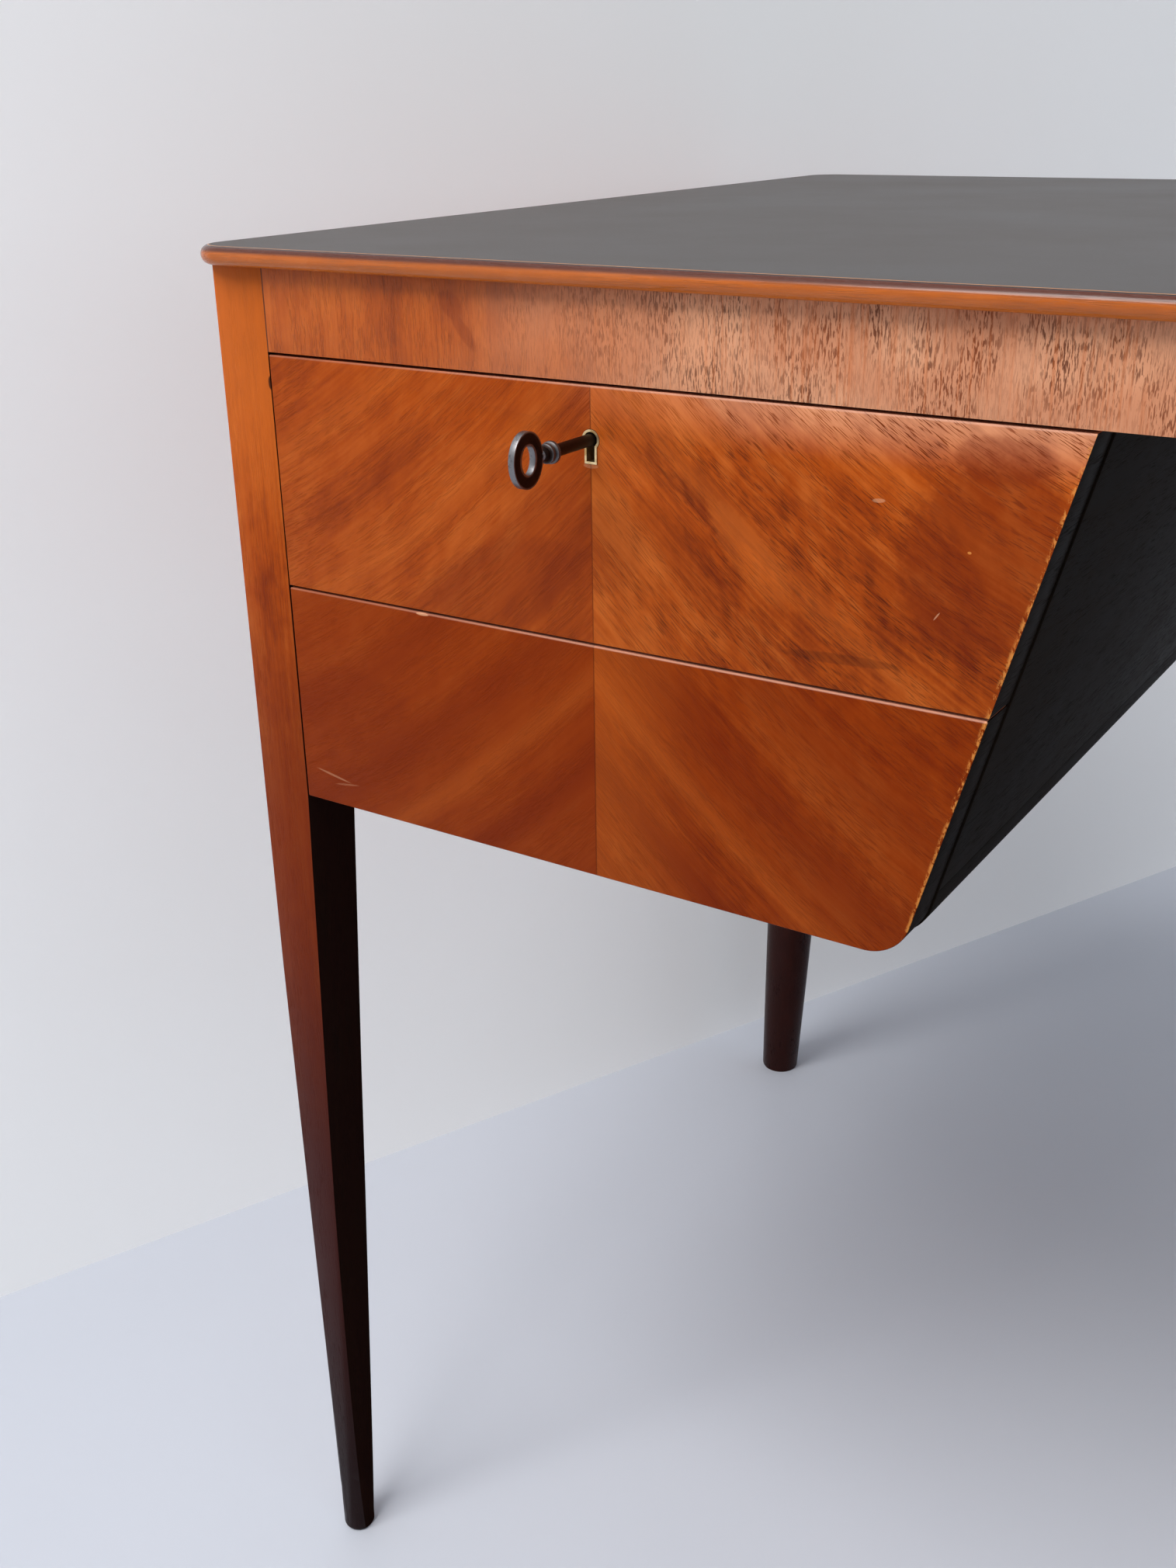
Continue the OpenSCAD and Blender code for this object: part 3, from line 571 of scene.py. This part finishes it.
# %% [markdown]
# ## Dark woods, beech and the writing sheet
# The rear legs are stained dark, and the sloping sides are ebonised: black enough that the grain only
# shows as a faint change of gloss. The drawers' insides are plain pale beech. The writing sheet is
# near-black linoleum, smooth and slightly waxed, which mirrors the wall when it's seen at a low angle.

# %% Dark and pale finishes
def stained(name, seed, grain, low, high, polish, gloss):
    """Wood whose own colour hardly shows, from its darkest to its lightest tone."""
    material, place = new_material(name)
    x, y, z = place.parts()
    along, across, into = grain_frame(x, y, z, grain)
    pore, tone = mahogany(along, across, into, seed, band=20)[1:]
    rough = polish + (tone - 0.5) * 0.2 + pore * 0.15
    return plug_in(material, {
        "Base Color": tone.ramp((0.1, low), (0.9, high)), "Roughness": rough,
        "Normal": bump(1 - pore, 0.05 * MM), "Specular IOR Level": gloss})


turned_wood = stained(
    "dark turned mahogany", 9.0, "z", paint_chart(30, 10, 8), paint_chart(52, 18, 11), 0.3, 0.09)
ebony_wood = stained(
    "ebonised wood", 10.0, "y", paint_chart(12, 8, 5), paint_chart(30, 22, 16), 0.55, 0.02)
beech_wood = stained(
    "beech", 11.0, "y", paint_chart(190, 144, 98), paint_chart(222, 184, 138), 0.55, 0.3)

material, place = new_material("dark writing sheet")
x, y, z = place.parts()
cloud = noise(x / (90 * MM), y / (90 * MM), z, detail=3)
grit = noise(x / (0.8 * MM), y / (0.8 * MM), z, detail=2)
shade = cloud * 0.6 + grit * 0.4
sheet_colour = shade.ramp((0.3, paint_chart(42, 34, 29)), (0.7, paint_chart(56, 46, 40)))
writing_sheet = plug_in(material, {
    "Base Color": sheet_colour, "Roughness": 0.34 + cloud * 0.12 + grit * 0.05,
    "Normal": bump(grit, 0.02 * MM), "Specular IOR Level": 0.42})
print("made", writing_sheet.name)

# %% [markdown]
# ## Metals
# The keyhole liner is thin brass, the lock and its key are steel that has browned in the air and worn
# bright on its edges.

# %% Brass and steel
def metal(name, dull, bright, polish, spot):
    """Metal with tarnish in spots of the given size in millimetres."""
    material, place = new_material(name)
    x, y, z = [p / MM for p in place.parts()]
    tarnish = noise(x / spot, y / spot, z / spot, detail=4, roughness=0.65).smooth(0.35, 0.65)
    scratch = noise(x / 0.3, y / 6, z / 0.3, detail=1)
    return plug_in(material, {
        "Base Color": mix(tarnish, dull, bright), "Metallic": 1.0,
        "Roughness": polish + tarnish * -0.12 + scratch * 0.15,
        "Normal": bump(tarnish, 0.04 * MM)})


brass = metal("worn brass", paint_chart(190, 154, 100), paint_chart(244, 216, 166), 0.42, 4)
steel = metal("lock steel", paint_chart(70, 62, 56), paint_chart(150, 146, 140), 0.45, 6)
print("metals:", brass.name, steel.name)

# %% [markdown]
# The key is browned all over, but fingers have worn the rim of its bow and the rings of its collar
# back to bare steel. Both are found by measuring: how far a point is from the middle of the bow, and
# how far from the axis of the shank.

# %% Key steel
key_lo, key_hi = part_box("key_left")
BOW_HALF = (key_hi.z - key_lo.z) / 2
BOW_REACH = 9.2 * MM          # from the middle of the bow to its outer end
KEY_Z = (key_lo.z + key_hi.z) / 2
BOW_Y = key_lo.y + BOW_REACH
material, place = new_material("browned key steel")
x, y, z = place.parts()
over, along = (z - KEY_Z) / BOW_HALF, (y - BOW_Y) / BOW_REACH
round_bow = (over * over + along * along) ** 0.5
on_bow = along.smooth(1.06, 1.02)
aside = (abs(x) - SEAM) / MM
off_axis = (aside * aside + ((z - KEY_Z) / MM) ** 2.0) ** 0.5
worn = noise(x / (1.6 * MM), y / (1.6 * MM), z / (1.6 * MM), detail=4, roughness=0.7)
rim = (round_bow.smooth(0.92, 0.98) + round_bow.smooth(0.60, 0.54)).least(1) * on_bow
rings = off_axis.smooth(3.0, 3.9) * (1 - on_bow)
bare = ((rim + rings * 0.5) * (worn.smooth(0.30, 0.46) * 0.5 + 0.5)).least(1)
browning = mix(worn, paint_chart(22, 17, 16), paint_chart(50, 38, 34))
key_steel = plug_in(material, {
    "Base Color": mix(bare, browning, paint_chart(126, 124, 126)), "Metallic": 1.0,
    "Roughness": 0.46 - bare * 0.12 + worn * 0.08, "Normal": bump(worn, 0.05 * MM)})
print("made", key_steel.name, "with its bow round", [round(v, 4) for v in (BOW_Y, KEY_Z)])

# %% [markdown]
# ## Easing the boards
# No cabinetmaker leaves a saw-sharp arris: each edge is eased with a stroke of the plane and then
# catches a thin line of light. A copy of the CAD board is merged, so that its loose triangles become
# whole faces, and a narrow bevel runs round it. The CAD board itself stays in the file, hidden.

# %% A board with eased arrises
SAME_POINT = 0.01 * MM
FLAT, SHARP, ROUND = 0.4, 40, 35      # degrees between faces: merged, bevelled, shaded as one


def eased(node, finish, arris=0.5, knee_finish=None):
    """A finished copy of a CAD board, on the same body, perhaps with another finish towards the knees."""
    bpy.ops.object.select_all(action="DESELECT")
    piece = bpy.data.objects.new(node + "_finished", NODES[node].data.copy())
    bpy.context.scene.collection.objects.link(piece)
    bpy.context.view_layer.objects.active = piece
    piece.select_set(True)
    bpy.ops.object.mode_set(mode="EDIT")
    bpy.ops.mesh.select_all(action="SELECT")
    bpy.ops.mesh.remove_doubles(threshold=SAME_POINT)
    bpy.ops.mesh.dissolve_limited(angle_limit=math.radians(FLAT))
    bpy.ops.object.mode_set(mode="OBJECT")
    bpy.ops.mesh.customdata_custom_splitnormals_clear()
    if arris:
        bevel = piece.modifiers.new("arrises", "BEVEL")
        bevel.width = arris * MM
        bevel.segments = 3
        bevel.limit_method = "ANGLE"
        bevel.angle_limit = math.radians(SHARP)
        bpy.ops.object.modifier_apply(modifier="arrises")
    bpy.ops.object.shade_smooth_by_angle(angle=math.radians(ROUND))
    piece.data.materials.clear()
    piece.data.materials.append(finish)
    if knee_finish:
        piece.data.materials.append(knee_finish)
        knees = 1 if node.endswith("left") else -1
        for face in piece.data.polygons:
            face.material_index = int(face.normal.x * knees > 0.15 and abs(face.normal.y) < 0.5)
    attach(piece, BODY_OF[node])
    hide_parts(node)
    return piece


# %% [markdown]
# ## Which finish goes where
# Each row names a board, its finish and how far its edges are eased, in millimetres. Veneered fronts
# and legs get a third entry for the side that faces the knees: the ebonised finish on a front's
# sloping end, and painted shade on a leg. Metal is eased less than wood, or keeps the edges it was
# stamped with.

# %% A finish for every board
FINISHES = {
    "frieze_front": (frieze_wood, 0.4), "frieze_back": (frieze_wood, 0.6),
    "lipping_front": (lipping_x_wood, 0), "lipping_back": (lipping_x_wood, 0),
    "lipping_left": (lipping_y_wood, 0), "lipping_right": (lipping_y_wood, 0),
    "top_surface": (writing_sheet, 0), "top_core": (beech_wood, 0),
}
for side in ("left", "right"):
    FINISHES["leg_front_" + side] = (leg_wood, 0.9, leg_shaded_side)
    FINISHES["front_upper_" + side] = (upper_veneer, 0.55, ebony_wood)
    FINISHES["front_lower_" + side] = (lower_veneer, 0.55, ebony_wood)
    FINISHES["side_panel_" + side] = (side_wood, 0.6)
    FINISHES["back_panel_" + side] = (back_wood, 0.4)
    FINISHES["sloping_side_" + side] = (ebony_wood, 0.4)
    FINISHES["rounded_edge_" + side] = (ebony_wood, 0.4)
    FINISHES["bottom_board_" + side] = (side_wood, 0.4)
    for part in ("bearer", "divider", "drawer_guides"):
        FINISHES[part + "_" + side] = (beech_wood, 0.4)
    for part in ("side_outer", "side_inner", "back", "bottom"):
        for level in ("upper", "lower"):
            FINISHES[f"{part}_{level}_{side}"] = (beech_wood, 0.4)
    FINISHES["escutcheon_" + side] = (brass, 0)
    FINISHES["strike_plate_" + side] = (brass, 0)
    FINISHES["lock_bolt_" + side] = (brass, 0.2)
    FINISHES["lock_case_" + side] = (steel, 0.2)
    FINISHES["lock_screws_" + side] = (steel, 0)
    FINISHES["key_" + side] = (key_steel, 0.3)
finished = {node: eased(node, *how) for node, how in FINISHES.items()}
print("eased", len(finished), "pieces; left as they are:", sorted(set(NODES) - set(finished)))

# %% [markdown]
# ## The turned rear legs
# A rear leg is turned on a lathe: a straight axis, and a radius that changes along it. That is what
# the spin operator does, so the leg starts as a single point, which is extruded along the turner's
# profile and then spun round the axis. The axis leans outwards and backwards. It runs through the
# middle of the foot and the middle of the tenon's end, which are read from the frame. Two flat cuts
# set the foot on the floor and the shoulder under the pedestal.

# %% Turning a leg
BOARD_UNDER_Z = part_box("bottom_board_left")[0].z
FOOT_RADIUS = 15 * MM
SHOULDER_RADIUS = 22.5 * MM
FOOT_ROUND = 3 * MM
WASTE_BELOW, WASTE_ABOVE = 1 * MM, 8 * MM      # cut off again at the floor and at the pedestal
ROUND_STEPS, PROFILE_STEPS, LATHE_STEPS = 6, 28, 96


def foot_and_tip(node):
    """The middle of a leg's sole, and the middle of its tenon's level end."""
    lowest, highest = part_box(node)
    outer = lowest.x + FOOT_RADIUS if lowest.x < 0 else highest.x - FOOT_RADIUS
    ring = [v.co for v in NODES[node].data.vertices if abs(v.co.z - highest.z) < 0.05 * MM]
    return Vector((outer, highest.y - FOOT_RADIUS, lowest.z)), sum(ring, Vector()) / len(ring)


def turner_profile(length):
    """Heights and radii along the axis, from the middle of the sole to the middle of the shoulder."""
    sole = [(-WASTE_BELOW, 0.0)]
    for step in range(ROUND_STEPS + 1):
        turn = math.radians(90 * step / ROUND_STEPS - 90)
        sole.append((FOOT_ROUND * (1 + math.sin(turn)) - WASTE_BELOW,
                     FOOT_RADIUS - FOOT_ROUND + FOOT_ROUND * math.cos(turn)))
    body = []
    for step in range(1, PROFILE_STEPS + 1):
        t = step / PROFILE_STEPS
        swell = (SHOULDER_RADIUS - FOOT_RADIUS) * (1 - (1 - t) ** 2)
        body.append((FOOT_ROUND - WASTE_BELOW + (length + WASTE_ABOVE) * t, FOOT_RADIUS + swell))
    return sole + body + [(body[-1][0], 0.0)]


print("the profile starts", turner_profile(1)[:3], "and has", len(turner_profile(1)), "points")

# %% [markdown]
# Every step of the turning is an operator: merging a small square to a point, extruding that point
# along the profile, and spinning the line it leaves. The normals are recalculated at the end, since a
# spin can turn a surface inside out.

# %% Spinning the legs
def turned_leg(node):
    """A rear leg, spun round its leaning axis."""
    foot, tip = foot_and_tip(node)
    axis = (tip - foot).normalized()
    aside = axis.cross(Vector((0, 1, 0))).normalized()
    bpy.ops.object.select_all(action="DESELECT")
    bpy.ops.mesh.primitive_plane_add(size=2 * MM, location=foot)
    piece = bpy.context.object
    piece.name = node + "_turned"
    bpy.ops.object.transform_apply(location=True, rotation=True, scale=True)
    bpy.ops.object.mode_set(mode="EDIT")
    bpy.ops.mesh.select_all(action="SELECT")
    bpy.ops.mesh.merge(type="CENTER")
    places = [foot + axis * height + aside * radius
              for height, radius in turner_profile((tip - foot).length * BOARD_UNDER_Z / tip.z)]
    bpy.ops.transform.translate(value=places[0] - foot)
    for before, after in zip(places, places[1:]):
        bpy.ops.mesh.extrude_region_move(TRANSFORM_OT_translate={"value": after - before})
    bpy.ops.mesh.select_all(action="SELECT")
    bpy.ops.mesh.spin(steps=LATHE_STEPS, angle=2 * math.pi, center=foot, axis=axis)
    bpy.ops.mesh.select_all(action="SELECT")
    bpy.ops.mesh.remove_doubles(threshold=0.02 * MM)
    for height, waste in ((0, {"clear_inner": True}), (BOARD_UNDER_Z, {"clear_outer": True})):
        bpy.ops.mesh.select_all(action="SELECT")
        bpy.ops.mesh.bisect(
            plane_co=(0, 0, height), plane_no=(0, 0, 1), use_fill=True, threshold=0.001 * MM, **waste)
    bpy.ops.mesh.select_all(action="SELECT")
    bpy.ops.mesh.normals_make_consistent(inside=False)
    bpy.ops.object.mode_set(mode="OBJECT")
    bpy.ops.object.shade_smooth_by_angle(angle=math.radians(SHARP))
    piece.data.materials.append(turned_wood)
    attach(piece, BODY_OF[node])
    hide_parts(node)
    return piece


for side in ("left", "right"):
    leg = turned_leg("leg_rear_" + side)
    print(leg.name, "has", len(leg.data.polygons), "faces")

# %% [markdown]
# ## Floor, wall and light
# The desk stands on a plain pale floor, close to a plain wall that runs past its left rear corner.
# The light is one broad soft source, high in front and slightly to the left, with a dim sky round
# about. The wall shows only its room side, so a view from behind looks through it.

# %% The room
def pale(name, colour, rough):
    """A plain pale finish with the faintest clouding."""
    material, place = new_material(name)
    x, y, z = place.parts()
    cloud = noise(x / 0.35, y / 0.35, z / 0.35, detail=4)
    lighter = tuple(min(1, v * 1.08) for v in colour[:3]) + (1,)
    return plug_in(material, {"Base Color": mix(cloud, colour, lighter), "Roughness": rough})


def show_one_side(material):
    """Lets a wall be seen only from its front."""
    tree = material.node_tree
    output = [n for n in tree.nodes if n.type == "OUTPUT_MATERIAL"][0]
    shader = Signal(tree, output.inputs[0].links[0].from_socket)
    behind = shader.node("ShaderNodeNewGeometry", {}, {}, "Backfacing")
    clear = shader.node("ShaderNodeBsdfTransparent", {}, {})
    both = shader.node("ShaderNodeMixShader", {}, {0: behind, 1: shader, 2: clear})
    tree.links.new(both.socket, output.inputs[0])


FLOOR_SIZE, WALL_SIZE = 14, 9
WALL_FOOT = (LEG_CORNER + Vector((-344, 18, 0)) * MM, LEG_CORNER + Vector((182, 1165, 0)) * MM)
wall_run = (WALL_FOOT[1] - WALL_FOOT[0]).normalized()
wall_turn = math.atan2(wall_run.y, wall_run.x)
wall_middle = WALL_FOOT[0] + wall_run * 1.5 + Vector((0, 0, WALL_SIZE / 2))
bpy.ops.mesh.primitive_plane_add(size=FLOOR_SIZE, location=(0, 0, 0))
floor = bpy.context.object
floor.name = "floor"
floor.data.materials.append(pale("pale floor", paint_chart(188, 192, 201), 0.5))

bpy.ops.mesh.primitive_plane_add(size=WALL_SIZE, location=wall_middle)
wall = bpy.context.object
wall.name = "wall"
wall.rotation_euler = (math.radians(90), 0, wall_turn)
wall_paint = pale("pale wall", paint_chart(250, 249, 247), 0.8)
show_one_side(wall_paint)
wall.data.materials.append(wall_paint)
print("wall turned by", round(math.degrees(wall_turn), 1), "degrees")

# %% Light
def softbox(name, at, towards, size, power, colour):
    """A square lamp that faces a point."""
    lamp = bpy.data.objects.new(name, bpy.data.lights.new(name, "AREA"))
    bpy.context.scene.collection.objects.link(lamp)
    lamp.data.shape = "RECTANGLE"
    lamp.data.size, lamp.data.size_y = size
    lamp.data.energy = power
    lamp.data.color = colour
    lamp.location = at
    lamp.rotation_euler = (Vector(towards) - Vector(at)).to_track_quat("-Z", "Y").to_euler()
    return lamp


PEDESTAL_MIDDLE = Vector((-0.45, -0.2, 0.5))
WINDOW_AT = PEDESTAL_MIDDLE + Vector((-0.75, -2.3, 3.6))
WINDOW_SIZE, WINDOW_WATTS, WINDOW_COLOUR = (3.0, 2.4), 244, (1.0, 0.985, 0.965)
SKY_COLOUR, SKY_STRENGTH = (0.86, 0.92, 1.0, 1), 0.62
window = softbox("window", WINDOW_AT, PEDESTAL_MIDDLE, WINDOW_SIZE, WINDOW_WATTS, WINDOW_COLOUR)
sky = bpy.data.worlds.new("sky")
sky.use_nodes = True
sky.node_tree.nodes["Background"].inputs[0].default_value = SKY_COLOUR
sky.node_tree.nodes["Background"].inputs[1].default_value = SKY_STRENGTH
bpy.context.scene.world = sky
bpy.context.scene.view_settings.view_transform = "Standard"
print("light:", window.data.energy, "W")

# %% [markdown]
# ## Closing
